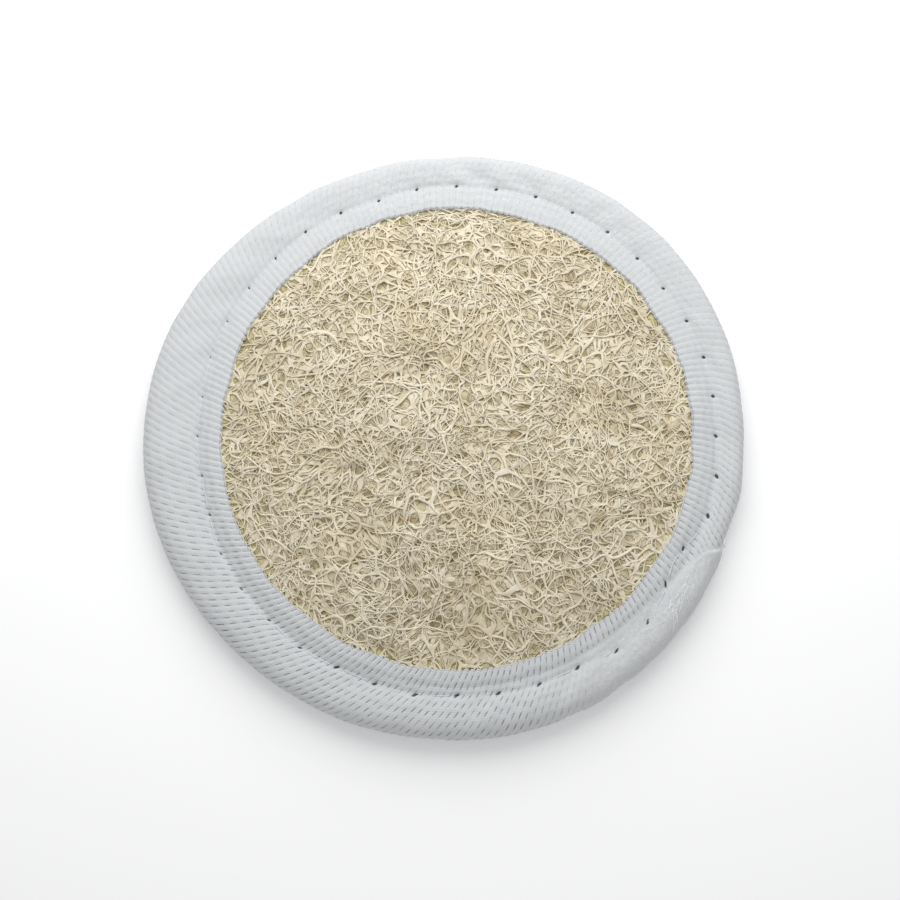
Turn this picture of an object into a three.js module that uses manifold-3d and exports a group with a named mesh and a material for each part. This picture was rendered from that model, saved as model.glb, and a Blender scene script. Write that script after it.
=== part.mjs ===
// A round loofah scrub pad, 80 mm across: a domed disc of natural loofah on a terry cloth backing,
// both held at the edge by a folded cotton tape with one line of lockstitch through the whole stack.
// Millimetres, +Z up. The pad lies on its backing with the loofah face up, and the origin is on the
// surface under the middle of its outline.

import * as THREE from "three";
import { mergeVertices } from "three/addons/utils/BufferGeometryUtils.js";
import Module from "manifold-3d";

const wasm = await Module();
wasm.setup();

// Plan of the pad, seen from the loofah side. The tape is widest at the left, because the outline lies
// off the middle of the loofah. It is also a little longer one way, and has three faint lobes.
const OUTLINE_RADIUS = 39.8;
const OUTLINE_SHIFT = new THREE.Vector2(-1.27, -0.3);
const OUTLINE_STRETCH = 0.26;
const OUTLINE_STRETCH_ANGLE = 18.5;
const OUTLINE_LOBES = 3;
const OUTLINE_LOBE_HEIGHT = 0.52;
const OUTLINE_LOBE_ANGLE = 53;
const OPENING_RADIUS = 31.4;
const SEAM_RADIUS = 34.4;
const LAYER_RADIUS = 36.5;

// Thicknesses of the layers where the seam presses them together.
const LAYER_GAP = 0.3;
const TAPE_THICKNESS = 0.6;
const TERRY_EDGE = 0.6;
const LOOFAH_EDGE = 0.8;

// Heights above the surface that the pad lies on.
const SEAM_FOOT = 0.8;
const TERRY_EDGE_LOW = SEAM_FOOT + TAPE_THICKNESS + LAYER_GAP;
const TERRY_TOP = TERRY_EDGE_LOW + TERRY_EDGE;
const LOOFAH_LOW = TERRY_TOP + LAYER_GAP;
const LOOFAH_EDGE_TOP = LOOFAH_LOW + LOOFAH_EDGE;
const SEAM_TOP = LOOFAH_EDGE_TOP + LAYER_GAP + TAPE_THICKNESS;
const PUFF_TOP = 5.0;
const RIM_HEIGHT = 2.5;
const LIP_TOP = 5.6;
const DOME_EDGE = LIP_TOP - TAPE_THICKNESS - LAYER_GAP - 0.2;
const DOME_TOP = 8.5;
const DOME_FALL = 2.2;

// The end of the tape, laid over its beginning. It starts at a notch in the rim, and its folded edge
// runs steeply in from there, and then on beside the lip, with a strip of the tape's beginning left
// to see between them. FOLD_RUN is in degrees, and FOLD_STRIP in points of the tape's section.
const NOTCH_ANGLE = -22;
const FOLD_RUN = 5.5;
const FOLD_STRIP = 1.6;
const FOLD_AT_SEAM = [1, 5];
const END_FADE_FROM = 62;
const END_FADE_TO = 92;
const NOTCH_RUN_UP = 12;
const LAYER_SINK = 0.25;

// The seam.
const STITCHES = 40;
const THREAD = 0.4;
const NEEDLE_HOLE = 1.0;
const STITCH_RISE = 0.15;

// The net of loofah fibres on the dome.
const FIBRES = 90;
const FIBRE_SIDES = 3;
const FIBRE_STEPS = 4;
const FIBRE_RADIUS = [0.45, 0.65];
const FIBRE_LENGTH = [9, 19];
const FIBRE_BEND = 0.51;
const FIBRE_CREST = [0.4, 0.9];
const FIBRE_ROOT = 0.6;
const FIBRE_SEED = 30;
const NET_RADIUS = 30.6;

// Facets. The inside of the tape keeps every other point of its outside, and these two as well.
const TAPE_STEPS = 52;
const TAPE_INSIDE_KEPT = [3, 13];
const DISC_STEPS = 52;
const SLIVER = 0.01;

const COLOURS = { loofah: 0xd8cba6, tape: 0xe4e6e8, terry: 0xeeeeea, thread: 0xf4f5f6 };

const radians = THREE.MathUtils.degToRad;
const smoothstep = THREE.MathUtils.smoothstep;

// A seeded random number from 0 to 1.
function randomFrom(seed) {
  let state = seed;
  return () => {
    state = (state + 0x6d2b79f5) | 0;
    let mixed = Math.imul(state ^ (state >>> 15), 1 | state);
    mixed = (mixed + Math.imul(mixed ^ (mixed >>> 7), 61 | mixed)) ^ mixed;
    return ((mixed ^ (mixed >>> 14)) >>> 0) / 4294967296;
  };
}

function toSolid(geometry) {
  const bare = geometry.clone();
  for (const name of ["normal", "uv"]) bare.deleteAttribute(name);
  const merged = mergeVertices(bare, 1e-4);
  const vertProperties = new Float32Array(merged.attributes.position.array);
  const triVerts = new Uint32Array(merged.index.array);
  return new wasm.Manifold(new wasm.Mesh({ numProp: 3, vertProperties, triVerts }));
}

// One body, with the slivers that joining leaves taken out, and any hollow that it sealed filled.
function cleaned(solid) {
  const bodies = solid.asOriginal().simplify(SLIVER).decompose();
  return bodies.reduce((most, body) => (body.volume() > most.volume() ? body : most));
}

function toGeometry(solid) {
  const mesh = cleaned(solid).getMesh();
  const geometry = new THREE.BufferGeometry();
  geometry.setAttribute("position", new THREE.BufferAttribute(mesh.vertProperties, 3));
  geometry.setIndex(new THREE.BufferAttribute(mesh.triVerts, 1));
  const flat = geometry.toNonIndexed();
  flat.computeVertexNormals();
  return flat;
}

// A closed surface from a grid of points whose rows and columns both run round and close.
function torusOf(rows) {
  const across = rows[0].length;
  const index = [];
  rows.forEach((row, i) => {
    const next = ((i + 1) % rows.length) * across;
    for (let j = 0; j < across; j++) {
      const beside = (j + 1) % across;
      const corners = [i * across + j, next + j, next + beside, i * across + beside];
      index.push(corners[0], corners[2], corners[1], corners[0], corners[3], corners[2]);
    }
  });
  return indexed(rows.flat(), index);
}

// A closed slab from a grid of points: each row runs round one section, and both end rows are capped.
function slabOf(rows) {
  const across = rows[0].length;
  const index = [];
  for (let i = 0; i + 1 < rows.length; i++) {
    for (let j = 0; j < across; j++) {
      const [a, b] = [i * across + j, i * across + ((j + 1) % across)];
      index.push(a, a + across, b + across, a, b + across, b);
    }
  }
  const last = (rows.length - 1) * across;
  for (let j = 0; j < across / 2 - 1; j++) {
    const [a, b, c, d] = [j, j + 1, across - 2 - j, across - 1 - j];
    index.push(a, b, c, a, c, d);
    index.push(last + a, last + c, last + b, last + a, last + d, last + c);
  }
  return indexed(rows.flat(), index);
}

function indexed(points, index) {
  const geometry = new THREE.BufferGeometry().setFromPoints(points);
  geometry.setIndex(index);
  return geometry;
}

function around(theta, radius, height) {
  return new THREE.Vector3(radius * Math.cos(theta), radius * Math.sin(theta), height);
}

// Degrees clockwise from the notch, from -180 to 180.
function pastNotch(theta) {
  const turn = NOTCH_ANGLE - THREE.MathUtils.radToDeg(theta);
  return THREE.MathUtils.euclideanModulo(turn + 180, 360) - 180;
}

// How thick the laid-over end of the tape is at an angle, as a share of the tape.
function endShare(theta) {
  const past = pastNotch(theta);
  return past < 0 ? 0 : 1 - smoothstep(past, END_FADE_FROM, END_FADE_TO);
}

// How far the folded tape reaches out from the middle of the loofah, under the laid-over end.
function rimRadius(theta) {
  const stretch = OUTLINE_STRETCH * Math.cos(2 * (theta - radians(OUTLINE_STRETCH_ANGLE)));
  const lobe = OUTLINE_LOBE_HEIGHT * Math.cos(OUTLINE_LOBES * (theta - radians(OUTLINE_LOBE_ANGLE)));
  const shift = OUTLINE_SHIFT.x * Math.cos(theta) + OUTLINE_SHIFT.y * Math.sin(theta);
  const past = pastNotch(theta);
  const share = past < 0 ? smoothstep(past, -NOTCH_RUN_UP, 0) : endShare(theta);
  return OUTLINE_RADIUS + shift + stretch + lobe - share * TAPE_THICKNESS;
}

// The outside of the folded tape at an angle, as points of radius and height from the lip on the
// loofah, through the seam's valley, over the padded edge and round the rim to the lip underneath.
function tapeOutside(theta) {
  const width = rimRadius(theta) - SEAM_RADIUS;
  const front = [
    [OPENING_RADIUS, LIP_TOP],
    [OPENING_RADIUS + 1.0, LIP_TOP - 0.25],
    [SEAM_RADIUS - 0.9, SEAM_TOP + 0.3],
    [SEAM_RADIUS, SEAM_TOP],
    [SEAM_RADIUS + 0.9, SEAM_TOP + 0.35],
    [SEAM_RADIUS + 0.42 * width, PUFF_TOP],
    [SEAM_RADIUS + 0.72 * width, PUFF_TOP - 0.4],
    [SEAM_RADIUS + 0.93 * width, PUFF_TOP - 1.3],
  ];
  const rim = [[SEAM_RADIUS + width, RIM_HEIGHT]];
  const back = [
    [SEAM_RADIUS + 0.93 * width, 1.2],
    [SEAM_RADIUS + 0.72 * width, 0.3],
    [SEAM_RADIUS + 0.42 * width, 0],
    [SEAM_RADIUS + 0.9, 0.4],
    [SEAM_RADIUS, SEAM_FOOT],
    [SEAM_RADIUS - 0.9, 0.5],
    [OPENING_RADIUS + 1.0, 0],
    [OPENING_RADIUS, 0],
  ];
  return [...front, ...rim, ...back].map(([r, z]) => new THREE.Vector2(r, z));
}

// The points moved square to their line, inwards for a positive distance.
function inset(line, distance) {
  return line.map((point, i) => {
    const before = line[Math.max(i - 1, 0)];
    const after = line[Math.min(i + 1, line.length - 1)];
    const along = after.clone().sub(before).normalize();
    return new THREE.Vector2(point.x + along.y * distance, point.y - along.x * distance);
  });
}

function turns(count, from = 0, to = 2 * Math.PI) {
  return Array.from({ length: count }, (_, i) => from + ((to - from) * i) / count);
}

// The tape itself: one strip folded round the edge.
function foldedTape() {
  const kept = (_, i) => i % 2 === 0 || TAPE_INSIDE_KEPT.includes(i);
  const rows = turns(TAPE_STEPS).map((theta) => {
    const outside = tapeOutside(theta);
    const inside = inset(outside, TAPE_THICKNESS).filter(kept);
    return [...outside, ...inside.reverse()].map((p) => around(theta, p.x, p.y));
  });
  return toSolid(torusOf(rows)).asOriginal();
}

// Where the laid-over end's folded edge is, counted in the points of the tape's outside.
function foldPoint(past, rimPoint) {
  return FOLD_STRIP + (rimPoint - FOLD_STRIP) * Math.exp(-past / FOLD_RUN);
}

// The laid-over end of the strip, as a slab on the front and the rim of the tape.
function tapeEnd() {
  const across = 8;
  const rimPoint = 8;
  const beyondRim = 2;
  const steps = 16;
  const rows = [];
  for (let i = 0; i <= steps; i++) {
    const past = 1 + ((END_FADE_TO - 3) * i) / steps;
    const theta = radians(NOTCH_ANGLE - past);
    const line = tapeOutside(theta);
    const start = foldPoint(past, rimPoint);
    const end = rimPoint + beyondRim;
    const at = (u) => {
      const k = Math.min(Math.floor(u), line.length - 2);
      return line[k].clone().lerp(line[k + 1], u - k);
    };
    const low = Array.from({ length: across }, (_, j) => at(start + ((end - start) * j) / (across - 1)));
    const top = inset(low, -TAPE_THICKNESS * endShare(theta));
    const edge = inset(low, -TAPE_THICKNESS * 0.15)[across - 1];
    top[across - 1] = edge;
    const sunk = inset(low, LAYER_SINK);
    rows.push([...top, ...sunk.reverse()].map((p) => around(theta, p.x, p.y)));
  }
  return toSolid(slabOf(rows));
}

function needleHoles() {
  const tall = 3 * PUFF_TOP;
  const boxes = turns(STITCHES).map((theta) => {
    const box = new THREE.BoxGeometry(NEEDLE_HOLE, NEEDLE_HOLE, tall);
    box.rotateZ(theta);
    box.translate(SEAM_RADIUS * Math.cos(theta), SEAM_RADIUS * Math.sin(theta), 0);
    return toSolid(box);
  });
  return wasm.Manifold.union(boxes);
}

// The height of the seam's valley on the front, with the laid-over end where there is one.
function seamTop(theta) {
  const share = smoothstep(pastNotch(theta), ...FOLD_AT_SEAM) * endShare(theta);
  return SEAM_TOP + share * TAPE_THICKNESS;
}

// One run of the seam's thread: a square line that rises a little in the middle of each stitch.
function threadRun(heightAt, rise) {
  const rows = turns(2 * STITCHES).map((theta, i) => {
    const middle = heightAt(theta) + (i % 2) * rise;
    const half = THREAD / 2;
    const corners = [[-half, -half], [-half, half], [half, half], [half, -half]];
    return corners.map(([r, z]) => around(theta, SEAM_RADIUS + r, middle + z));
  });
  return toSolid(torusOf(rows));
}

// Lockstitch: a run on the front, a run underneath, and the thread through each needle hole.
function sewingThread() {
  const stand = LAYER_GAP + THREAD / 2;
  const front = (theta) => seamTop(theta) + stand;
  const back = SEAM_FOOT - stand;
  const posts = turns(STITCHES).map((theta) => {
    const height = front(theta) - back;
    const box = new THREE.BoxGeometry(THREAD, THREAD, height);
    box.rotateZ(theta);
    box.translate(SEAM_RADIUS * Math.cos(theta), SEAM_RADIUS * Math.sin(theta), back + height / 2);
    return toSolid(box);
  });
  return wasm.Manifold.union([threadRun(front, STITCH_RISE), threadRun(() => back, 0), ...posts]);
}

function disc(profile) {
  const points = profile.map(([r, z]) => new THREE.Vector2(r, z));
  const lathe = new THREE.LatheGeometry(points, DISC_STEPS);
  lathe.rotateX(Math.PI / 2);
  return toSolid(lathe);
}

// The terry cloth: its field lies on the surface, and its edge runs up into the tape.
function terryDisc() {
  return disc([
    [0, 0],
    [28.5, 0],
    [30, 0.3],
    [OPENING_RADIUS, 0.95],
    [SEAM_RADIUS - 1.2, TERRY_EDGE_LOW],
    [LAYER_RADIUS, TERRY_EDGE_LOW],
    [LAYER_RADIUS, TERRY_TOP],
    [0, TERRY_TOP],
  ]);
}

// The height of the loofah under its net of fibres.
function domeHeight(radius) {
  const share = Math.min(radius / OPENING_RADIUS, 1);
  return DOME_EDGE + (DOME_TOP - DOME_EDGE) * (1 - share ** DOME_FALL);
}

function loofahBody() {
  const rings = [31.4, 27, 22, 16.5, 11, 5.5];
  const dome = rings.map((radius) => [radius, domeHeight(radius)]);
  return disc([
    [0, LOOFAH_LOW],
    [LAYER_RADIUS, LOOFAH_LOW],
    [LAYER_RADIUS, LOOFAH_EDGE_TOP],
    [SEAM_RADIUS - 0.6, LOOFAH_EDGE_TOP],
    ...dome,
    [0, domeHeight(0)],
  ]);
}

// One fibre: an arc over the dome whose two ends are rooted in the body of the loofah.
function fibre(i, random) {
  const between = ([low, high]) => low + (high - low) * random();
  const golden = Math.PI * (3 - Math.sqrt(5));
  const ring = NET_RADIUS * Math.sqrt((i + 0.5) / FIBRES);
  const middle = new THREE.Vector2(ring, 0).rotateAround(new THREE.Vector2(), golden * i + random());
  const heading = 2 * Math.PI * random();
  const half = between(FIBRE_LENGTH) / 2;
  const bend = FIBRE_BEND * (2 * random() - 1);
  const crest = between(FIBRE_CREST);
  const thick = between(FIBRE_RADIUS);
  const points = [-1, -0.5, 0, 0.5, 1].map((t) => {
    const across = half * bend * (1 - t * t);
    const place = new THREE.Vector2(half * t, across).rotateAround(new THREE.Vector2(), heading).add(middle);
    const height = domeHeight(place.length()) + crest - (crest + FIBRE_ROOT) * t ** 4;
    return new THREE.Vector3(place.x, place.y, height);
  });
  const corners = turns(FIBRE_SIDES).map((a) => new THREE.Vector2(thick * Math.cos(a), thick * Math.sin(a)));
  const tube = new THREE.ExtrudeGeometry(new THREE.Shape(corners), {
    steps: FIBRE_STEPS,
    bevelEnabled: false,
    extrudePath: new THREE.CatmullRomCurve3(points),
  });
  return toSolid(tube);
}

function loofahDisc() {
  const random = randomFrom(FIBRE_SEED);
  const net = wasm.Manifold.union(Array.from({ length: FIBRES }, (_, i) => fibre(i, random)));
  const field = disc([[0, LOOFAH_LOW + 1], [NET_RADIUS, LOOFAH_LOW + 1], [NET_RADIUS, 14], [0, 14]]);
  return loofahBody().add(net.intersect(field));
}

function named(name, solid, colour, roughness) {
  const material = new THREE.MeshStandardMaterial({ color: colour, roughness, metalness: 0 });
  const mesh = new THREE.Mesh(toGeometry(solid), material);
  mesh.name = name;
  return mesh;
}

const holes = needleHoles();
const pad = new THREE.Group();
pad.add(
  named("loofah_disc", loofahDisc().subtract(holes), COLOURS.loofah, 0.85),
  named("terry_backing", terryDisc().subtract(holes), COLOURS.terry, 0.95),
  named("binding_tape", foldedTape().add(tapeEnd()).subtract(holes), COLOURS.tape, 0.9),
  named("sewing_thread", sewingThread(), COLOURS.thread, 0.6),
);

// The middle of the outline goes over the origin.
const middle = new THREE.Box3().setFromObject(pad).getCenter(new THREE.Vector3());
pad.position.set(-middle.x, -middle.y, 0);

export default pad;
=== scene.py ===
"""A round loofah scrub pad: a net of plant fibre on a domed bed, a folded cotton tape round its edge with
its end laid over, one lockstitch seam and a terry cloth backing. Shapes are worked out in millimetres."""

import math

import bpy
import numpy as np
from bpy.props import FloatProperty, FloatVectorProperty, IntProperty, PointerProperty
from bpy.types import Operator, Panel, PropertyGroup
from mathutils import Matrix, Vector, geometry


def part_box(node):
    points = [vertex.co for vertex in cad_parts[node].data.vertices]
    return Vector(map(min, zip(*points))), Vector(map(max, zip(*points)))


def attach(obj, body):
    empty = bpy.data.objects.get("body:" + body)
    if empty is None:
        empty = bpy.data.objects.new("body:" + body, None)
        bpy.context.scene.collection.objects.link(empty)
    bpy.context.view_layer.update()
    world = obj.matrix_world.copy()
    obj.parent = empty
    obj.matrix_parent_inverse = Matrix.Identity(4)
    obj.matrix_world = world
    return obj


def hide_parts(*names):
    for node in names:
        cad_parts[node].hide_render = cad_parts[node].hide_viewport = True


bl_info = {
    "name": "Loofah Scrub Pad",
    "version": (1, 0, 0),
    "blender": (4, 5, 0),
    "location": "View3D > Sidebar > Scrub Pad",
    "description": "Models a round loofah scrub pad with a stitched cotton binding",
    "category": "Mesh",
}

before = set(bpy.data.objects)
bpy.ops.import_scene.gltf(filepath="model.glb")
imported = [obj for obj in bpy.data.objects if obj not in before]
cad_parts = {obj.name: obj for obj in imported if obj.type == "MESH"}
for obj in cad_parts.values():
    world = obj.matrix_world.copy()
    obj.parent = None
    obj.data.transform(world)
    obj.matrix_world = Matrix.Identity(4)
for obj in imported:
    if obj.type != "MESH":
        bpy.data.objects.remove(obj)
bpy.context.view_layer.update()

MM = 0.001
TURN = 2 * math.pi

LOOFAH_LOW, LOOFAH_HIGH = (np.array(corner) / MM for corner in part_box("loofah_disc"))
MIDDLE = (LOOFAH_LOW + LOOFAH_HIGH)[:2] / 2

# The plan of the pad about the middle of the loofah.
OUTLINE_RADIUS = 39.8
OUTLINE_SHIFT = (-1.27, -0.3)
STRETCH = 0.26
STRETCH_ANGLE = math.radians(18.5)
LOBES = 3
LOBE_HEIGHT = 0.52
LOBE_ANGLE = math.radians(53)

# Heights of the stack, in millimetres over the surface that the pad lies on.
TERRY_EDGE_LOW = 1.7
TERRY_TOP = 2.3
FLANGE_LOW = LOOFAH_LOW[2]
FLANGE_TOP = FLANGE_LOW + 0.8
FLANGE_RADIUS = (LOOFAH_HIGH - LOOFAH_LOW)[0] / 2
DOME_EDGE = 5.05
DOME_TOP = 8.5
DOME_POWER = 2.2

# The outside of the folded tape, from the lip on the loofah round the rim to the lip underneath. Each row is
# a distance out from the seam, a share of the width from the seam to the rim, and a height.
TAPE_SECTION = np.array([
    (-3.0, 0.0, 5.3),
    (-2.0, 0.0, 5.2),
    (-0.9, 0.0, 4.8),
    (0.0, 0.0, 4.5),
    (0.9, 0.0, 4.65),
    (0.0, 0.42, 4.8),
    (0.0, 0.72, 4.65),
    (0.0, 0.93, 3.85),
    (0.0, 1.0, 2.5),
    (0.0, 0.93, 1.2),
    (0.0, 0.72, 0.3),
    (0.0, 0.42, 0.05),
    (0.9, 0.0, 0.4),
    (0.0, 0.0, 0.8),
    (-0.9, 0.0, 0.5),
    (-2.0, 0.0, 0.05),
    (-3.0, 0.0, 0.05),
])
FRONT_SEAM = 3
RIM = 8
BACK_SEAM = 13
SECTION_END = len(TAPE_SECTION) - 1

# The needle holes lie at this slant to the seam. A point that is farther off than so many times a hole's size
# counts as being that far off.
HOLE_SLANT = math.radians(25)
FAR = 3.0

# The gaps of painted shade in the tape's valleys and the yarns across its ribs, from one to the next.
GAP_SPACING = 1.27
YARN_SPACING = 0.34

# The laid-over end of the tape starts at the notch in the rim, which is at an angle of its own. All the other
# angles are in degrees clockwise from it: where the end's slab starts, where the end fades into the tape, how
# long before the notch the rim draws in, and how fast the fold runs in. The fold ends at a place in the
# tape's section beside the lip, and the end's far edge lies at another one underneath.
NOTCH = -22
END_START = 0.2
END_FADE = (62, 92)
NOTCH_RUN_UP = 12
FOLD_RUN = 5.5
FOLD_STRIP = 1.6
END_FAR_EDGE = RIM + 2.6

# How far out the opening inside the tape's lip reaches, and how far the loofah's fibres go under the tape.
OPENING = 31.4
FIELD = 33.2

# Heights over the loofah's smooth dome: the two that the fibres' colour runs between, from darker straw
# low down, which is painted shade, to cream at the top; then how far down the bed lies, and how far it
# and the loose strands sink in a hollow.
LIFT_LOW = -0.35
LIFT_HIGH = 0.12
BED_DEPTH = 0.23
BED_SINK = 0.2
STRAND_SINK = 0.22

# Each layer of the loofah's net: the spacing of its cells, its seed, its level and the spread of that, the
# width of a strand, the reach of a web, how far it sinks in a hollow, and the points along a strand. The
# thickness is in usual fibres.
NET_LAYERS = {
    "loofah_deep_net": (1.7, 61, -0.17, 0.03, 0.36, 0.42, 0.17, 4),
    "loofah_middle_net": (1.9, 62, -0.1, 0.05, 0.2, 0.22, 0.2, 5),
    "loofah_top_net": (2.2, 65, 0.02, 0.07, 0.17, 0.19, 0.12, 6),
}
NET_THICKNESS = 0.5

# Each kind of loose strand: how many, its seed, its level and the spread of that, the shortest and longest,
# its thickness in usual fibres, the points along it, its sides and how round its section is.
STRANDS = {
    "loofah_bands": (70, 63, 0.02, 0.05, (4, 11), 1.7, 14, 5, 0.25),
    "loofah_strands": (700, 64, 0.03, 0.09, (4, 13), 1.0, 16, 5, 0.6),
    "loofah_fine_strands": (780, 66, 0.06, 0.08, (2, 8), 0.68, 12, 4, 0.9),
}

# Settings that the properties share.
LENGTH = {"unit": "LENGTH", "subtype": "DISTANCE"}
COLOUR = {"subtype": "COLOR", "size": 3, "min": 0, "max": 1}


class PadSizes(PropertyGroup):
    seam_radius: FloatProperty(
        name="Seam radius", description="From the middle of the loofah to the stitches",
        default=34.4 * MM, **LENGTH,
    )
    tape_thickness: FloatProperty(
        name="Tape thickness", description="Thickness of the cotton tape",
        default=0.5 * MM, **LENGTH,
    )
    rib_relief: FloatProperty(
        name="Rib relief", description="How far the tape's ribs stand out of it",
        default=0.08 * MM, **LENGTH,
    )
    ribs: IntProperty(name="Ribs", description="Ribs of the tape in one turn", default=240)
    stitches: IntProperty(name="Stitches", description="Stitches in the seam", default=40)
    thread_thickness: FloatProperty(
        name="Thread thickness", description="Diameter of the sewing thread",
        default=0.21 * MM, **LENGTH,
    )
    fibre_thickness: FloatProperty(
        name="Fibre thickness", description="Diameter of a usual loofah fibre",
        default=0.2 * MM, **LENGTH,
    )
    loop_spacing: FloatProperty(
        name="Loop spacing", description="From one terry loop to the next",
        default=1.2 * MM, **LENGTH,
    )


def from_screen(red, green, blue):
    """A colour given as screen values from 0 to 255, in linear light."""
    shares = (value / 255 for value in (red, green, blue))
    return tuple(((share + 0.055) / 1.055) ** 2.4 if share > 0.04 else share / 12.92 for share in shares)


# Colours that are laid over the ones in PadColours.
YELLOW_STRAW = from_screen(232, 214, 168)
DULL_FIBRE = from_screen(211, 201, 177)
STREAK = from_screen(204, 191, 164)
GREY_STRAW = from_screen(198, 185, 155)
DARK_STRAW = from_screen(204, 190, 155)
PALE_STRAND = from_screen(216, 205, 178)
# Painted shade in the bed's hollows and in the gap beside the tape's lip.
HOLLOW_SHADE_BROWN = from_screen(170, 155, 116)
LIP_SHADE_OLIVE = from_screen(198, 188, 132)
# Painted shade in the tape's rib valleys and in the gaps of its weave.
VALLEY_SHADE_GREY = from_screen(174, 177, 181)
GAP_SHADE_GREY = from_screen(86, 87, 90)
COOL_GREY = from_screen(198, 202, 206)
FLECK_WHITE = from_screen(232, 234, 236)
# Painted shade in the needle holes.
HOLE_SHADE_GREY = from_screen(84, 86, 90)
# Painted highlight: the loose hairs are whiter than the tape they come from.
HAIR_HIGHLIGHT_WHITE = from_screen(250, 251, 252)
HAIR_HIGHLIGHT_BASE = from_screen(240, 242, 244)
THREAD_SHADE = from_screen(200, 203, 206)
TERRY_SHADE = from_screen(184, 184, 178)
TERRY_FLUFF = from_screen(232, 232, 229)
FLOOR_SHADE = from_screen(246, 246, 246)


class PadColours(PropertyGroup):
    fibre_top: FloatVectorProperty(
        name="Top fibres", description="Loofah fibres that catch the light",
        **COLOUR, default=from_screen(231, 222, 200),
    )
    # The deep fibres' darker straw is painted shade of the net's depths.
    fibre_deep: FloatVectorProperty(
        name="Deep fibres", description="Loofah fibres down in the net",
        **COLOUR, default=from_screen(208, 195, 161),
    )
    bed: FloatVectorProperty(
        name="Bed", description="Matted loofah under the net",
        **COLOUR, default=from_screen(218, 206, 177),
    )
    tape: FloatVectorProperty(
        name="Tape", description="Cotton binding tape",
        **COLOUR, default=from_screen(206, 208, 209),
    )
    thread: FloatVectorProperty(
        name="Thread", description="Sewing thread",
        **COLOUR, default=from_screen(212, 214, 216),
    )
    terry: FloatVectorProperty(
        name="Terry", description="Looped cotton backing",
        **COLOUR, default=from_screen(222, 222, 218),
    )
    floor: FloatVectorProperty(
        name="Floor", description="The plain floor under the pad",
        **COLOUR, default=from_screen(250, 250, 250),
    )


# Shapes worked out as whole arrays.


def smooth(value, low, high):
    """An S curve from 0 at low to 1 at high."""
    t = np.clip((value - low) / (high - low), 0, 1)
    return t * t * (3 - 2 * t)


def ripple(x, y, length, seed, waves=18):
    """A smooth random field, mostly between -1 and 1: the sum of sine waves that run in random directions
    with random phases, each about one given length long."""
    draw = np.random.default_rng(seed)
    turns = draw.uniform(0, TURN, waves)
    numbers = TURN / (length * draw.uniform(0.7, 1.5, waves))
    phases = draw.uniform(0, TURN, waves)
    total = sum(
        np.sin(k * (math.cos(a) * x + math.sin(a) * y) + p) for k, a, p in zip(numbers, turns, phases)
    )
    return total * math.sqrt(0.5 / waves)


def catmull_rom(points, at):
    """The curve that runs smoothly through rows of points: each stretch between two points is the cubic whose
    slope at a point is half the step between its neighbours. Places are counted in points."""
    last = len(points) - 1
    first = np.clip(np.floor(at).astype(int), 0, last - 1)
    t = (at - first)[..., None]
    before, start = points[np.maximum(first - 1, 0)], points[first]
    end, after = points[first + 1], points[np.minimum(first + 2, last)]
    slope_in, slope_out = (end - before) / 2, (after - start) / 2
    return (
        start * (2 * t**3 - 3 * t**2 + 1) + slope_in * (t**3 - 2 * t**2 + t)
        + end * (3 * t**2 - 2 * t**3) + slope_out * (t**3 - t**2)
    )


def past_notch(theta):
    """Degrees clockwise from the notch, from -180 to 180."""
    return (NOTCH - np.degrees(theta) + 180) % 360 - 180


def layer_share(theta):
    """How much of the tape's thickness the laid-over end has at an angle: all of it at the notch, and none
    after it has faded into the tape."""
    past = past_notch(theta)
    return np.where(past < 0, 0, 1 - smooth(past, *END_FADE))


def rim_reach(theta, thickness):
    """How far the folded tape reaches at an angle: a circle about a shifted middle, plus waves with two and
    three lobes, less the thickness of the end that is laid over it."""
    shift = OUTLINE_SHIFT[0] * np.cos(theta) + OUTLINE_SHIFT[1] * np.sin(theta)
    stretch = STRETCH * np.cos(2 * (theta - STRETCH_ANGLE))
    lobe = LOBE_HEIGHT * np.cos(LOBES * (theta - LOBE_ANGLE))
    past = past_notch(theta)
    share = np.where(past < 0, smooth(past, -NOTCH_RUN_UP, 0), layer_share(theta))
    return OUTLINE_RADIUS + shift + stretch + lobe - share * thickness


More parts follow.
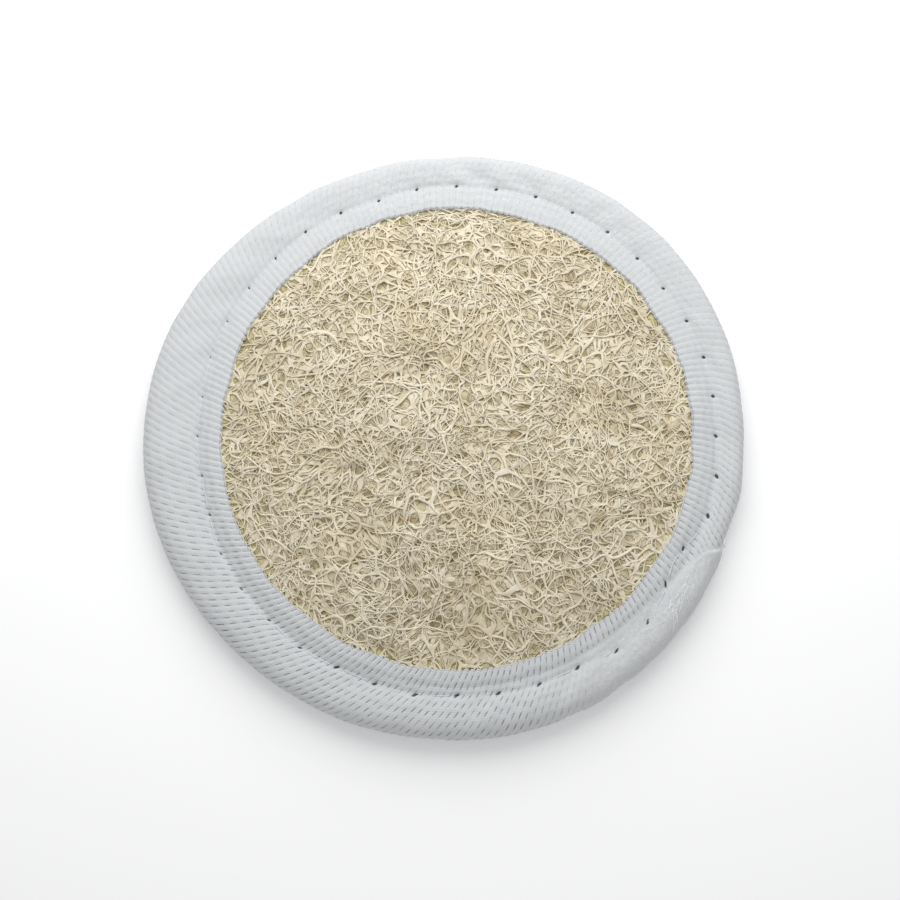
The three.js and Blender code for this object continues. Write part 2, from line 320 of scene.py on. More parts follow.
class Tape:
    """The folded tape as a surface of an angle and a place across it. The place is counted in the points of
    TAPE_SECTION, and the way across is also known in millimetres from the front seam."""

    def __init__(self, sizes):
        self.seam = sizes.seam_radius / MM
        self.thickness = sizes.tape_thickness / MM
        self.ribs = sizes.ribs
        self.relief = sizes.rib_relief / MM
        self.stitches = sizes.stitches
        self.places = np.linspace(0, SECTION_END, 1601)
        section = catmull_rom(TAPE_SECTION, self.places)
        width = OUTLINE_RADIUS - self.seam
        radius = section[:, 0] + section[:, 1] * width
        steps = np.hypot(np.diff(radius), np.diff(section[:, 2]))
        across = np.concatenate([[0], np.cumsum(steps)])
        self.across = across - np.interp(FRONT_SEAM, self.places, across)

    def place_of(self, across):
        """The place whose way across is so many millimetres from the front seam."""
        return np.interp(across, self.across, self.places)

    def across_of(self, place):
        """The way across of a place, in millimetres from the front seam."""
        return np.interp(place, self.places, self.across)

    def slant(self, theta, across):
        """The tangent of the ribs' angle from the way across, which grows towards the lower left and is less
        on the lip."""
        outer = np.radians(27 + 12 * np.cos(theta - math.radians(235)))
        lip = 0.45 + 0.25 * np.cos(theta - math.radians(250))
        return np.tan(outer) * (lip + (1 - lip) * smooth(across, -1.2, 1.2))

    def rib_turn(self, theta, across):
        """How far round a rib has moved at a way across, as an angle, from where it crosses the seam."""
        return self.slant(theta, across) * across / (self.seam + 0.35 * across)

    def phase(self, theta, across):
        """The number of the rib at a point, with its share: whole numbers are the valleys between ribs."""
        return self.ribs * (theta + self.rib_turn(theta, across)) / TURN

    def off_stitch(self, theta, across):
        """How far a point is from the nearest needle hole, along the seam and out from it."""
        angle = TURN / self.stitches
        return (theta - angle * np.round(theta / angle)) * self.seam, across - seam_wander(theta)

    def hole_reach(self, theta, across):
        """How far a point is from the nearest needle hole, as a share of the hole's own size: 1 on its edge.
        A hole is an oval that lies slantwise. It is longer where the cloth is pulled, and smaller at the
        left, where the ribs close over it."""
        along, off = self.off_stitch(theta, across)
        length = along * math.cos(HOLE_SLANT) - off * math.sin(HOLE_SLANT)
        width = along * math.sin(HOLE_SLANT) + off * math.cos(HOLE_SLANT)
        size = 1 - 0.45 * smooth(np.cos(theta - math.radians(190)), 0.3, 0.9)
        return np.hypot(length / (0.17 + 0.36 * gap_share(theta)), width / 0.17) / size

    def stitch_pull(self, theta, across):
        """How far the seam pulls the cloth in: a groove under the thread, a wider hollow round each stitch's
        end, and the needle hole. Where the ribs are faint the cloth fills the seam's valley up."""
        along, off = self.off_stitch(theta, across)
        dent = np.exp(-(along**2) / 0.9**2 - off**2 / 0.7**2)
        groove = np.exp(-(off**2) / 0.5**2)
        filled = 0.35 * (1 - rib_share(theta)) * np.exp(-(across**2) / 1.3**2)
        hole = np.exp(-(self.hole_reach(theta, across) ** 2))
        return 0.06 * groove + 0.12 * dent + 0.26 * hole - filled

    def lift(self, theta, place, across, smoothing=0):
        """How far the cloth stands out of the smooth section: rounded ribs, slow swellings between the
        stitches, and the seam's pull."""
        rib = np.sqrt(np.abs(np.sin(math.pi * self.phase(theta, across)))) - 0.6
        x, y = self.seam * np.cos(theta), self.seam * np.sin(theta)
        swell = 0.11 * ripple(x + across, y, 7, 11) + 0.05 * ripple(x, y + across, 3, 12)
        padded = smooth(place, 3, 4.5) * (1 - 0.6 * smooth(place, 5, 7)) * (1 - smooth(place, 9.5, 12))
        lip = 1 - smooth(place, 0.6, 2.4)
        front = np.where(place < RIM, self.stitch_pull(theta, across), 0)
        back = self.stitch_pull(theta, self.across_of(BACK_SEAM) - across)
        edge = 0.10 * ripple(x, y, 9, 13) * lip
        relief = self.relief * (1 + 0.8 * lip) * (1 - smoothing) * rib_share(theta)
        return (
            relief * rib + swell * (0.25 + padded) + edge
            - front - np.where(place >= RIM, 0.4 * back, 0)
        )

    def point(self, theta, place, lift):
        """Points of the surface, raised by lift square to the section."""
        width = rim_reach(theta, self.thickness) - self.seam
        section = catmull_rom(TAPE_SECTION, place)
        ahead = catmull_rom(TAPE_SECTION, np.minimum(place + 0.02, SECTION_END))
        behind = catmull_rom(TAPE_SECTION, np.maximum(place - 0.02, 0))
        slope = ahead - behind
        out, up = slope[..., 0] + slope[..., 1] * width, slope[..., 2]
        size = np.hypot(out, up)
        x, y = self.seam * np.cos(theta), self.seam * np.sin(theta)
        scallop = 0.15 * np.abs(np.sin(math.pi * self.phase(theta, self.across_of(place))))
        scallop = scallop * (1 + 0.6 * ripple(x, y, 2.5, 15))
        wander = (0.22 * ripple(x, y, 8, 14) - scallop) * (1 - smooth(place, 0.3, 1.5))
        radius = self.seam + section[..., 0] + section[..., 1] * width + wander - lift * up / size
        height = np.maximum(section[..., 2] + lift * out / size, 0.02)
        return from_polar(theta, radius, height)

    def turned(self, start, across):
        """The angles along ribs that cross the seam at the given angles: the rib's own turn is taken off a
        few times over, until it no longer changes."""
        theta = start
        for _ in range(6):
            theta = start - self.rib_turn(theta, across)
        return theta


def gap_share(theta):
    """How open the gaps in the cloth are at an angle: wide at the bottom, where the tape is pulled, and
    almost shut at the top. It also sets how strong the painted shade in the gaps is: darkest at the bottom,
    away from the light."""
    return 0.17 + 0.68 * smooth(np.cos(theta - math.radians(268)), -0.25, 0.8)


def rib_share(theta):
    """How plain the ribs are at an angle: less so at the top, where the cloth lies flat."""
    return 1 - 0.6 * smooth(np.sin(theta + 0.15), 0.2, 0.9)


def seam_wander(theta):
    """How far the seam strays out from its circle: a slow wobble, a bend inwards by the notch and one
    outwards after it."""
    past = past_notch(theta)
    wobble = 0.35 * ripple(34 * np.cos(theta), 34 * np.sin(theta), 15, 16)
    return wobble - 1.1 * np.exp(-(((past - 8) / 6) ** 2)) + 0.8 * np.exp(-(((past - 30) / 10) ** 2))


def from_middle(x, y, height):
    """Points from two ways off the middle of the loofah, and a height."""
    return np.stack([MIDDLE[0] + x, MIDDLE[1] + y, height], axis=-1)


def from_polar(theta, radius, height):
    """Points from an angle and a distance about the middle of the loofah, and a height."""
    x, y = radius * np.cos(theta), radius * np.sin(theta)
    return from_middle(x, y, np.broadcast_to(height, x.shape))


def unit(vectors):
    """Vectors brought to a length of 1."""
    return vectors / (np.linalg.norm(vectors, axis=-1, keepdims=True) + 1e-12)


def grid_faces(rows, columns, row_loop=False, column_loop=False):
    """Four-cornered faces of a grid of points, numbered row by row, that may close on itself both ways."""
    i = np.arange(rows if row_loop else rows - 1)[:, None]
    j = np.arange(columns if column_loop else columns - 1)[None, :]
    below, beside = (i + 1) % rows, (j + 1) % columns
    corners = [i * columns + j, i * columns + beside, below * columns + beside, below * columns + j]
    return np.stack(np.broadcast_arrays(*corners), axis=-1).reshape(-1, 4)


def disc_faces(rings, around):
    """Faces between rings of points about a middle, with one face on the first ring and one on the last."""
    first = np.arange(around)[None]
    return [grid_faces(rings, around, column_loop=True), first[:, ::-1], first + (rings - 1) * around]


def volume_of(points, faces):
    """The volume that closed faces hold: a sixth of the sum of the triple products of a fan of triangles.
    It is negative where the faces point inwards."""
    total = 0.0
    for group in faces:
        a = points[group[:, 0]]
        for k in range(1, group.shape[1] - 1):
            total += np.einsum("ij,ij->", a, np.cross(points[group[:, k]], points[group[:, k + 1]]))
    return total / 6


def new_piece(name, points, faces, material, replaced, uv=None, values=None):
    """A smooth mesh piece from points in millimetres and groups of faces, with a pair of texture numbers and
    named values for each point. It rides on the pad and stands for a CAD node."""
    points = np.asarray(points, dtype=np.float64).reshape(-1, 3)
    if volume_of(points - points.mean(axis=0), faces) < 0:
        faces = [group[:, ::-1] for group in faces]
    corners = np.concatenate([group.ravel() for group in faces]).astype(np.int32)
    sizes = np.concatenate([np.full(len(group), group.shape[1]) for group in faces])
    starts = np.concatenate([[0], np.cumsum(sizes)[:-1]]).astype(np.int32)
    mesh = bpy.data.meshes.new(name)
    mesh.vertices.add(len(points))
    mesh.vertices.foreach_set("co", (points * MM).astype(np.float32).ravel())
    mesh.loops.add(len(corners))
    mesh.loops.foreach_set("vertex_index", corners)
    mesh.polygons.add(len(sizes))
    mesh.polygons.foreach_set("loop_start", starts)
    mesh.update(calc_edges=True)
    mesh.polygons.foreach_set("use_smooth", np.ones(len(sizes), dtype=bool))
    if uv is not None:
        layer = mesh.uv_layers.new(name="Cloth")
        layer.data.foreach_set("uv", np.asarray(uv, dtype=np.float32).reshape(-1, 2)[corners].ravel())
    for key, numbers in (values or {}).items():
        attribute = mesh.attributes.new(key, "FLOAT", "POINT")
        attribute.data.foreach_set("value", np.asarray(numbers, dtype=np.float32).ravel())
    mesh.materials.append(material)
    if mesh.validate():
        raise RuntimeError(f"{name} has faces that Blender had to mend")
    piece = bpy.data.objects.new(name, mesh)
    bpy.context.scene.collection.objects.link(piece)
    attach(piece, "root")
    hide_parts(replaced)
    return piece


def rods(paths, radii, sides, side_axis=(0.0, 0.0, 1.0), flatness=1.0):
    """Rods along rows of points. At each point an oval ring lies square to the path: its first axis is the
    path's direction crossed with side_axis, and its second is square to both, and shorter in a flat rod. The
    two ends are capped. It gives the points and the groups of faces."""
    count, steps, _ = paths.shape
    along = unit(np.gradient(paths, axis=1))
    side = unit(np.cross(along, np.broadcast_to(side_axis, paths.shape)))
    up = np.cross(side, along)
    angles = TURN * np.arange(sides) / sides
    ring = side[:, :, None] * np.cos(angles)[:, None] + flatness * up[:, :, None] * np.sin(angles)[:, None]
    points = paths[:, :, None] + ring * np.asarray(radii)[..., None, None]
    tube = grid_faces(steps, sides, column_loop=True)
    offsets = (np.arange(count) * steps * sides)[:, None, None]
    walls = (tube[None] + offsets).reshape(-1, 4)
    first = np.arange(sides) + offsets[:, 0]
    last = first[:, ::-1] + (steps - 1) * sides
    return points.reshape(-1, 3), [walls[:, ::-1], first, last]


# Materials.


class Paint:
    """The nodes of one material: a plain colour with other colours laid over it, and a bump. Patterns lie on
    Object coordinates, and shares come from a piece's own values."""

    def __init__(self, name, colour, roughness, specular):
        self.material = bpy.data.materials.new(name)
        self.material.use_nodes = True
        self.tree = self.material.node_tree
        self.shader = self.tree.nodes["Principled BSDF"]
        self.shader.inputs["Roughness"].default_value = roughness
        self.shader.inputs["Specular IOR Level"].default_value = specular
        self.place = self.node("ShaderNodeTexCoord", {}, "Object")
        self.colour = (*colour, 1.0)

    def join(self, socket, value):
        """Puts a number, a colour or another node's output into a socket."""
        if isinstance(value, bpy.types.NodeSocket):
            self.tree.links.new(value, socket)
        else:
            socket.default_value = value

    def node(self, kind, inputs, output=0, **settings):
        """One output of a new node with the given inputs and settings."""
        node = self.tree.nodes.new(kind)
        for name, setting in settings.items():
            setattr(node, name, setting)
        for key, value in inputs.items():
            self.join(node.inputs[key], value)
        return node.outputs[output]

    def math(self, operation, *values):
        """One step of arithmetic."""
        return self.node("ShaderNodeMath", dict(enumerate(values)), operation=operation)

    def times(self, first, *others):
        """The product of all the values."""
        for other in others:
            first = self.math("MULTIPLY", first, other)
        return first

    def off(self, value, middle):
        """How far a value is from the middle, either way."""
        return self.math("ABSOLUTE", self.math("SUBTRACT", value, middle))

    def ramp(self, value, low, high):
        """An S curve from 0 at low to 1 at high."""
        inputs = {"Value": value, "From Min": low, "From Max": high}
        return self.node("ShaderNodeMapRange", inputs, "Result", interpolation_type="SMOOTHSTEP")

    def value(self, name):
        """One of the piece's own values at each point."""
        return self.node("ShaderNodeAttribute", {}, "Fac", attribute_name=name)

    def grain(self, size, detail=2.0, roughness=0.5):
        """Noise whose spots are about one size across, in metres."""
        inputs = {"Vector": self.place, "Scale": 1 / size, "Detail": detail, "Roughness": roughness}
        return self.node("ShaderNodeTexNoise", inputs, "Fac")

    def chance(self, number):
        """A random number from 0 to 1 for each whole number."""
        return self.node("ShaderNodeTexWhiteNoise", {"W": number}, "Value", noise_dimensions="1D")

    def lay(self, colour, share, strength=1.0):
        """Lays a colour over the ones that are there, by a share and a strength."""
        inputs = {"Factor": self.times(share, strength), 6: self.colour, 7: (*colour, 1.0)}
        self.colour = self.node("ShaderNodeMix", inputs, 2, data_type="RGBA")

    def bump(self, height, distance, strength=1.0):
        """Lets the light fall as if the surface were raised by a height, in distances of so many metres."""
        inputs = {"Height": height, "Distance": distance, "Strength": strength}
        self.join(self.shader.inputs["Normal"], self.node("ShaderNodeBump", inputs))

    def finish(self):
        """Joins the colour to the shader and gives the material."""
        self.join(self.shader.inputs["Base Color"], self.colour)
        return self.material


def fibre_material(colours):
    """Dry plant fibre: cream where it stands up to the light and darker straw down in the net, which is
    painted shade that grows with depth. Each strand has its own tone, and webs are duller. Yellow and grey
    patches and fine streaks lie over it all."""
    paint = Paint("loofah fibre", colours.fibre_deep, 0.6, 0.25)
    # Painted shade: the colour runs from the deep straw up to cream with the height in the net.
    paint.lay(colours.fibre_top, paint.ramp(paint.value("lift"), 0.0, 0.65))
    paint.lay(YELLOW_STRAW, paint.ramp(paint.grain(9 * MM), 0.5, 0.72), 0.25)
    paint.lay(DULL_FIBRE, paint.ramp(paint.value("tone"), 0.25, 0.9), 0.75)
    paint.lay(STREAK, paint.ramp(paint.grain(0.4 * MM, 3.0), 0.45, 0.7), 0.35)
    paint.lay(GREY_STRAW, paint.ramp(paint.grain(7 * MM, 3.0), 0.42, 0.68), 0.45)
    paint.bump(paint.grain(0.12 * MM), 0.03 * MM, 0.6)
    return paint.finish()


def bed_material(colours):
    """Matted fibre seen down through the net: patches of two straws crossed by fine lighter strands, which
    are the edges of small random cells. It is painted brown in the hollows and a darker olive beside the
    tape's lip, both painted shade."""
    paint = Paint("loofah bed", colours.bed, 0.8, 0.15)
    paint.lay(DARK_STRAW, paint.ramp(paint.grain(2.2 * MM, 3.0), 0.35, 0.65))
    cells = {"Vector": paint.place, "Scale": 1 / (1.1 * MM)}
    off_edge = paint.node("ShaderNodeTexVoronoi", cells, "Distance", feature="DISTANCE_TO_EDGE")
    strand = paint.ramp(off_edge, 0.14, 0.02)
    paint.lay(PALE_STRAND, strand, 0.75)
    # Painted shade: brown in the hollows, and a darker olive beside the tape's lip.
    paint.lay(HOLLOW_SHADE_BROWN, paint.value("hollow"), 0.8)
    paint.lay(LIP_SHADE_OLIVE, paint.value("near_lip"), 0.7)
    paint.bump(strand, 0.2 * MM)
    return paint.finish()


def tape_material(colours):
    """Ribbed cotton: painted shade in the valley between ribs, and rows of short dark gaps in the valleys,
    which are painted shade in the weave's openings, shifted by chance from rib to rib, that come and go along
    the tape. Where the cloth has no ribs it is napped with light flecks. The needle holes are painted dark,
    as the shade inside them. The bump adds fine yarns, fluff and a soft bulge in each row."""
    paint = Paint("ribbed cotton tape", colours.tape, 0.85, 0.2)
    cloth = paint.node("ShaderNodeUVMap", {}, uv_map="Cloth")
    rib, across = (paint.node("ShaderNodeSeparateXYZ", {0: cloth}, way) for way in ("X", "Y"))
    ribbed = paint.value("ribbed")
    valley = paint.math("ROUND", rib)
    off_valley = paint.off(rib, valley)
    drift = paint.times(paint.grain(3 * MM, 3.0), 0.7)
    start = paint.math("MULTIPLY_ADD", paint.chance(valley), 0.45, drift)
    row = paint.math("FRACT", paint.math("MULTIPLY_ADD", across, 1 / GAP_SPACING, start))
    length = paint.ramp(paint.off(row, 0.5), 0.34, 0.18)
    width = paint.ramp(off_valley, 0.11, 0.02)
    come_and_go = paint.math("MULTIPLY_ADD", paint.ramp(paint.grain(1.6 * MM, 3.0), 0.3, 0.7), 0.75, 0.4)
    gap = paint.times(length, width, come_and_go, paint.value("gaps"))
    # Painted shade in the valleys between ribs.
    paint.lay(VALLEY_SHADE_GREY, paint.times(paint.ramp(off_valley, 0.3, 0.0), ribbed), 0.22)
    # Painted shade in the gaps of the weave, strongest at the bottom, away from the light.
    paint.lay(GAP_SHADE_GREY, gap)
    paint.lay(COOL_GREY, paint.ramp(paint.grain(1.2 * MM, 4.0), 0.4, 0.75), 0.25)
    fleck = paint.ramp(paint.grain(0.4 * MM, 5.0, 0.75), 0.5, 0.65)
    fleck = paint.times(paint.math("SUBTRACT", 1.0, ribbed), fleck)
    paint.lay(FLECK_WHITE, fleck, 0.8)
    # Painted shade in the needle holes.
    paint.lay(HOLE_SHADE_GREY, paint.ramp(paint.value("hole"), 1.3, 0.9))
    yarn = paint.math("SINE", paint.times(across, TURN / YARN_SPACING))
    twist = paint.math("SINE", paint.math("MULTIPLY_ADD", rib, TURN * 3, across))
    woven = paint.times(paint.math("MULTIPLY_ADD", twist, 0.5, yarn), ribbed)
    bulge = paint.math("COSINE", paint.times(row, TURN))
    height = paint.times(paint.grain(0.15 * MM, 4.0, 0.7), 3.0)
    for part, weight in ((woven, 0.25), (gap, -2.0), (fleck, 3.0), (bulge, 0.8)):
        height = paint.math("MULTIPLY_ADD", part, weight, height)
    paint.bump(height, 0.03 * MM, 0.7)
    return paint.finish()


def thread_material(name, colour, shade):
    """Spun cotton with a slight gloss and fine fluff."""
    paint = Paint(name, shade, 0.5, 0.4)
    fluff = paint.grain(0.08 * MM, 3.0)
    paint.lay(colour, paint.ramp(fluff, 0.3, 0.8))
    paint.bump(fluff, 0.02 * MM)
    return paint.finish()


def terry_material(colours):
    """Soft looped cotton with a fluffy surface and slightly shaded hollows."""
    paint = Paint("terry cotton", colours.terry, 0.95, 0.15)
    fluff = paint.grain(0.2 * MM, 4.0, 0.7)
    paint.lay(TERRY_SHADE, paint.ramp(paint.value("lift"), 1.0, 0.0))
    paint.lay(TERRY_FLUFF, paint.ramp(fluff, 0.4, 0.8), 0.3)
    paint.bump(fluff, 0.08 * MM)
    return paint.finish()


def floor_material(colours):
    """A plain pale floor with a trace of tone and a faint glow."""
    paint = Paint("pale floor", colours.floor, 0.9, 0.1)
    paint.lay(FLOOR_SHADE, paint.ramp(paint.grain(0.3), 0.2, 0.8))
    paint.shader.inputs["Emission Color"].default_value = (*colours.floor, 1.0)
    paint.shader.inputs["Emission Strength"].default_value = 0.1
    return paint.finish()


# The loofah.


def dome(x, y):
    """The height of the loofah's body about its middle: flat-topped and falling towards the tape, with slow
    lumps."""
    radius = np.hypot(x, y)
    share = np.minimum(radius / OPENING, 1)
    rise = (DOME_TOP - DOME_EDGE) * (1 - share**DOME_POWER)
    lumps = 0.28 * ripple(x, y, 13, 31) + 0.12 * ripple(x, y, 5, 32)
    return DOME_EDGE + rise + lumps * (1 - smooth(radius, 24, OPENING))


def under_lip(x, y, height, radius):
    """Heights held under the tape's lip, for rods of the given radius."""
    reach = np.hypot(x, y)
    roof = 5.27 - 0.42 * np.maximum(reach - OPENING + 0.4, 0)
    near = smooth(reach, OPENING - 2.2, OPENING - 0.4)
    return height + near * np.minimum(roof - radius - height, 0)


def hollow_share(x, y):
    """How far a place lies in one of the hollows of the loofah, where its upper fibres sink: 1 in the middle
    of a hollow."""
    return smooth(ripple(x, y, 3.2, 51), 0.15, 0.7)


def uneven_net(spacing, seed, dropped):
    """The plan of a net of uneven cells. Points strewn on a jittered grid, less a share that is dropped, are
    joined in triangles by Delaunay's rule. A cell lies round each point, and its corners are the middles of
    the triangles about it. It gives the points, the triangles, and for each side of a triangle the number of
    the same side in the triangle beside it, or -1."""
    draw = np.random.default_rng(seed)
    line = np.arange(-FIELD - 3, FIELD + 3, spacing)
    x, y = np.meshgrid(line, line * math.sqrt(3) / 2)
    x = x + (np.arange(len(line)) % 2)[:, None] * spacing / 2
    places = np.stack([x, y], axis=-1).reshape(-1, 2) + draw.normal(0, 0.33 * spacing, (x.size, 2))
    places = places[(np.hypot(*places.T) < FIELD + 2) & (draw.uniform(0, 1, len(places)) > dropped)]
    result = geometry.delaunay_2d_cdt([Vector(p) for p in places], [], [], 0, 1e-6)
    points, triangles = np.array([tuple(v) for v in result[0]]), np.array(result[2])
    sides = np.sort(triangles[:, [[0, 1], [1, 2], [2, 0]]].reshape(-1, 2), axis=1)
    order = np.lexsort((sides[:, 1], sides[:, 0]))
    same = np.flatnonzero((sides[order[1:]] == sides[order[:-1]]).all(axis=1))
    twins = np.full(len(sides), -1)
    twins[order[same]], twins[order[same + 1]] = order[same + 1], order[same]
    return points, triangles, twins


class Net:
    """One layer of the loofah: a sheet of uneven cells with a rounded hole in each, laid over the dome, so
    that strands are left between the holes and webs where the strands meet. It sinks in the hollows. Smooth
    random fields push it about, with long waves that every layer shares and short ones of its own."""

    def __init__(self, spacing, seed, level, spread, width, web, sink):
        self.seed = seed
        self.sink = sink
        draw = np.random.default_rng(seed + 500)
        self.points, self.triangles, self.twins = uneven_net(spacing, seed, 0.1)
        self.corners = self.points[self.triangles].mean(axis=1)
        self.heights = level + spread * draw.uniform(-1, 1, len(self.corners))
        self.webs = web * draw.uniform(0.5, 1.5, len(self.corners))
        self.widths = width / 2 * draw.lognormal(0, 0.35, len(self.twins))
        self.arches = draw.uniform(-0.04, 0.1, len(self.twins))
        self.tones = draw.uniform(0, 1, len(self.twins))

    def pushed(self, x, y):
        """A point moved by three lengths of waves: 13, 3.4 and 1.3 mm."""
        moves = []
        for way in (1, 2):
            slow = 1.7 * ripple(x, y, 13, 20 + way)
            quick = 0.5 * ripple(x, y, 3.4, self.seed + way)
            fine = 0.15 * ripple(x, y, 1.3, self.seed + 10 + way)
            moves.append(slow + (quick + fine))
        return x + moves[0], y + moves[1]

    def sheet(self, thickness, steps):
        """Each side of a cell gives four runs of points: the ridge of its strand, a shoulder, the edge of the
        hole, and the ridge's underside. The edge lies in from the ridge by half the strand's width, and by
        the web's reach at a joint. The sheet's outer border is closed by walls."""
        cells = self.triangles.ravel()
        inside = (np.hypot(*self.points.T) < FIELD)[cells]
        sides = np.flatnonzero((self.twins >= 0) & inside)
        twins = self.twins[sides]
        pair, start, end = np.minimum(sides, twins), sides // 3, twins // 3
        t = np.linspace(0, 1, steps)
        from_start, from_end = (np.clip(1 - way / 0.42, 0, 1) ** 1.4 for way in (t, 1 - t))
        ridge = self.corners[start][:, None] * (1 - t)[:, None] + self.corners[end][:, None] * t[:, None]
        height = np.outer(self.heights[start], 1 - t) + np.outer(self.heights[end], t)
        height += np.outer(self.arches[pair], 4 * t * (1 - t))
        half = np.outer(self.widths[pair], 1 - from_start - from_end)
        half += np.outer(self.webs[start], from_start) + np.outer(self.webs[end], from_end)
        inward = self.points[cells[sides]][:, None] - ridge
        far = np.linalg.norm(inward, axis=2)
        edge = inward * (np.minimum(half, 0.7 * far) / far)[..., None]
        high, low = height + thickness / 2, height - thickness / 2
        shoulder = (ridge + 0.7 * edge, high - 0.3 * thickness)
        runs = [(ridge, high), shoulder, (ridge + edge, height), (ridge, low)]
        points = np.stack([np.dstack(run) for run in runs], axis=1).reshape(-1, 3)
        joint = np.broadcast_to(from_start + from_end, height.shape)
        own = 0.5 * self.tones[pair][:, None] + 0 * joint
        tone = np.stack([own + 0.6 * joint, own + 0.5 * joint, own, own + 0.6 * joint], axis=1).ravel()
        j = np.arange(steps - 1)
        upper = np.stack([j, j + 1, steps + j + 1, steps + j], axis=1)
        border = np.stack([j + 1, j, 3 * steps + j, 3 * steps + j + 1], axis=1)
        first = 4 * steps * np.arange(len(sides))[:, None, None]
        faces = np.concatenate([
            (np.concatenate([upper, upper + steps, upper + 2 * steps])[None] + first).reshape(-1, 4),
            (border[None] + first[~inside[twins]]).reshape(-1, 4),
        ])
        _, chosen, number = np.unique(np.round(points, 5), axis=0, return_index=True, return_inverse=True)
        x, y = self.pushed(*points[chosen, :2].T)
        height = points[chosen, 2] - self.sink * hollow_share(x, y)
        z = under_lip(x, y, dome(x, y) + height, 0.08)
        values = {"lift": lift_share(height), "tone": tone[chosen]}
        return from_middle(x, y, z), [number.ravel()[faces]], values


def strand_rods(fibre, count, seed, level, spread, lengths, fibres, steps, sides, flatness):
    """Loose strands over the dome: each starts at a random place, roughly along the lie of the fibre there,
    and turns with a steady curve and a slow wobble. Its two ends dip into the net. It gives the points, the
    groups of faces, and the lift and the tone of each point."""
    draw = np.random.default_rng(seed)
    reach = FIELD * np.sqrt(draw.uniform(0, 1, count))
    round_ = draw.uniform(0, TURN, count)
    start_x, start_y = reach * np.cos(round_), reach * np.sin(round_)
    lie = 1.9 * ripple(start_x, start_y, 16, 41) + 0.9 * ripple(start_x, start_y, 6, 42)
    heading = lie + draw.normal(0, 0.75, count)
    length = draw.uniform(*lengths, count)
    curve = draw.normal(0, 0.17, count)
    wobble = draw.normal(0, 0.45, (2, count))
    t = np.linspace(0, 1, steps)[None]
    turn = heading[:, None] + curve[:, None] * length[:, None] * (t - 0.5)
    turn = turn + wobble[0][:, None] * np.sin(TURN * t) + wobble[1][:, None] * np.sin(2 * TURN * t + 1)
    step = length[:, None] / (steps - 1)
    x = start_x[:, None] + np.cumsum(np.cos(turn) * step, axis=1)
    y = start_y[:, None] + np.cumsum(np.sin(turn) * step, axis=1)
    kept = (np.hypot(x, y) < FIELD).all(axis=1)
    x, y, t = x[kept], y[kept], np.broadcast_to(t, x.shape)[kept]
    count = len(x)
    rise = level + spread * draw.uniform(-1, 1, count)[:, None]
    ends = np.abs(2 * t - 1) ** 4
    wave = 0.07 * np.sin(3 * TURN * t + draw.uniform(0, TURN, count)[:, None])
    heights = rise + wave - (rise * 0.8 + 0.3) * ends - STRAND_SINK * hollow_share(x, y)
    radius = fibre * fibres / 2 * draw.lognormal(0, 0.3, count)[:, None] * (1 - 0.5 * ends)
    tones = 0.6 * draw.uniform(0, 1, count) ** 2
    z = under_lip(x, y, dome(x, y) + heights, radius)
    points, faces = rods(from_middle(x, y, z), radius, sides, flatness=flatness)
    lift = np.repeat(lift_share(heights).ravel(), sides)
    return points, faces, {"lift": lift, "tone": np.repeat(tones, steps * sides)}


def lift_share(heights):
    """How high in the net a point is, from 0, on the bed, to 1, at the top. The fibres' colour darkens
    towards 0 as painted shade.
    """
    return np.clip((heights - LIFT_LOW) / (LIFT_HIGH - LIFT_LOW), 0, 1)


def bed_points(around, rings):
    """The closed body of the loofah as rings about its middle: a matted dome that sinks in its hollows, the
    flat edge that the seam presses, and a flat underside. It also gives how deep in a hollow and how near
    the tape's lip each point is, which set the bed's painted shade."""
    theta = TURN * np.arange(around)[None] / around
    radius = np.linspace(0.12, OPENING + 0.8, rings)[:, None]
    x, y = radius * np.cos(theta), radius * np.sin(theta)
    hollow = hollow_share(x, y)
    relief = -BED_DEPTH - BED_SINK * hollow + 0.03 * ripple(x, y, 1.3, 52)
    height = under_lip(x, y, dome(x, y) + relief, 0.25)
    edge = [(OPENING + 2.2, FLANGE_TOP + 0.2), (OPENING + 3, FLANGE_TOP), (FLANGE_RADIUS, FLANGE_TOP)]
    edge += [(FLANGE_RADIUS, FLANGE_LOW), (FLANGE_RADIUS / 2, FLANGE_LOW), (0.12, FLANGE_LOW)]
    edge_radius, edge_height = (np.array(column)[:, None] for column in zip(*edge))
    all_radius = np.concatenate([np.broadcast_to(radius, x.shape), edge_radius + 0 * theta])
    all_height = np.concatenate([height, edge_height + 0 * theta])
    # The hollow and near_lip values set the bed's painted shade.
    values = {
        "hollow": np.concatenate([hollow, 0 * edge_height + 0 * theta]),
        "near_lip": smooth(all_radius, OPENING - 2.4, OPENING - 0.6),
    }
    return from_polar(theta + 0 * all_radius, all_radius, all_height), values


class PAD_OT_loofah(Operator):
    """The matted bed of the loofah, three layers of joined net and three kinds of loose strands"""

    bl_idname = "pad.loofah"
    bl_label = "Loofah"

    def execute(self, context):
        thickness = context.scene.pad_sizes.fibre_thickness / MM
        fibre = fibre_material(context.scene.pad_colours)
        around = 200
        points, values = bed_points(around, rings=56)
        faces = disc_faces(len(points), around)
        bed = bed_material(context.scene.pad_colours)
        new_piece("loofah_bed", points, faces, bed, "loofah_disc", values=values)
        for name, (*kind, steps) in NET_LAYERS.items():
            points, faces, values = Net(*kind).sheet(thickness * NET_THICKNESS, steps)
            new_piece(name, points, faces, fibre, "loofah_disc", values=values)
        for name, kind in STRANDS.items():
            points, faces, values = strand_rods(thickness, *kind)
            new_piece(name, points, faces, fibre, "loofah_disc", values=values)
        return {"FINISHED"}


# The tape.


def tape_rows(tape):
    """The places across the tape, in millimetres from the front seam: close at the seam, and wider apart
    underneath."""
    marks = tape.across
    lip, rim, end = marks[0], tape.across_of(RIM), marks[-1]
    inner = np.linspace(lip, -0.6, 11)
    seam = np.linspace(-0.48, 0.48, 9)
    outer = np.linspace(0.6, rim, 27)
    under = np.linspace(rim, end, 20)[1:]
    return np.concatenate([inner, seam, outer, under])


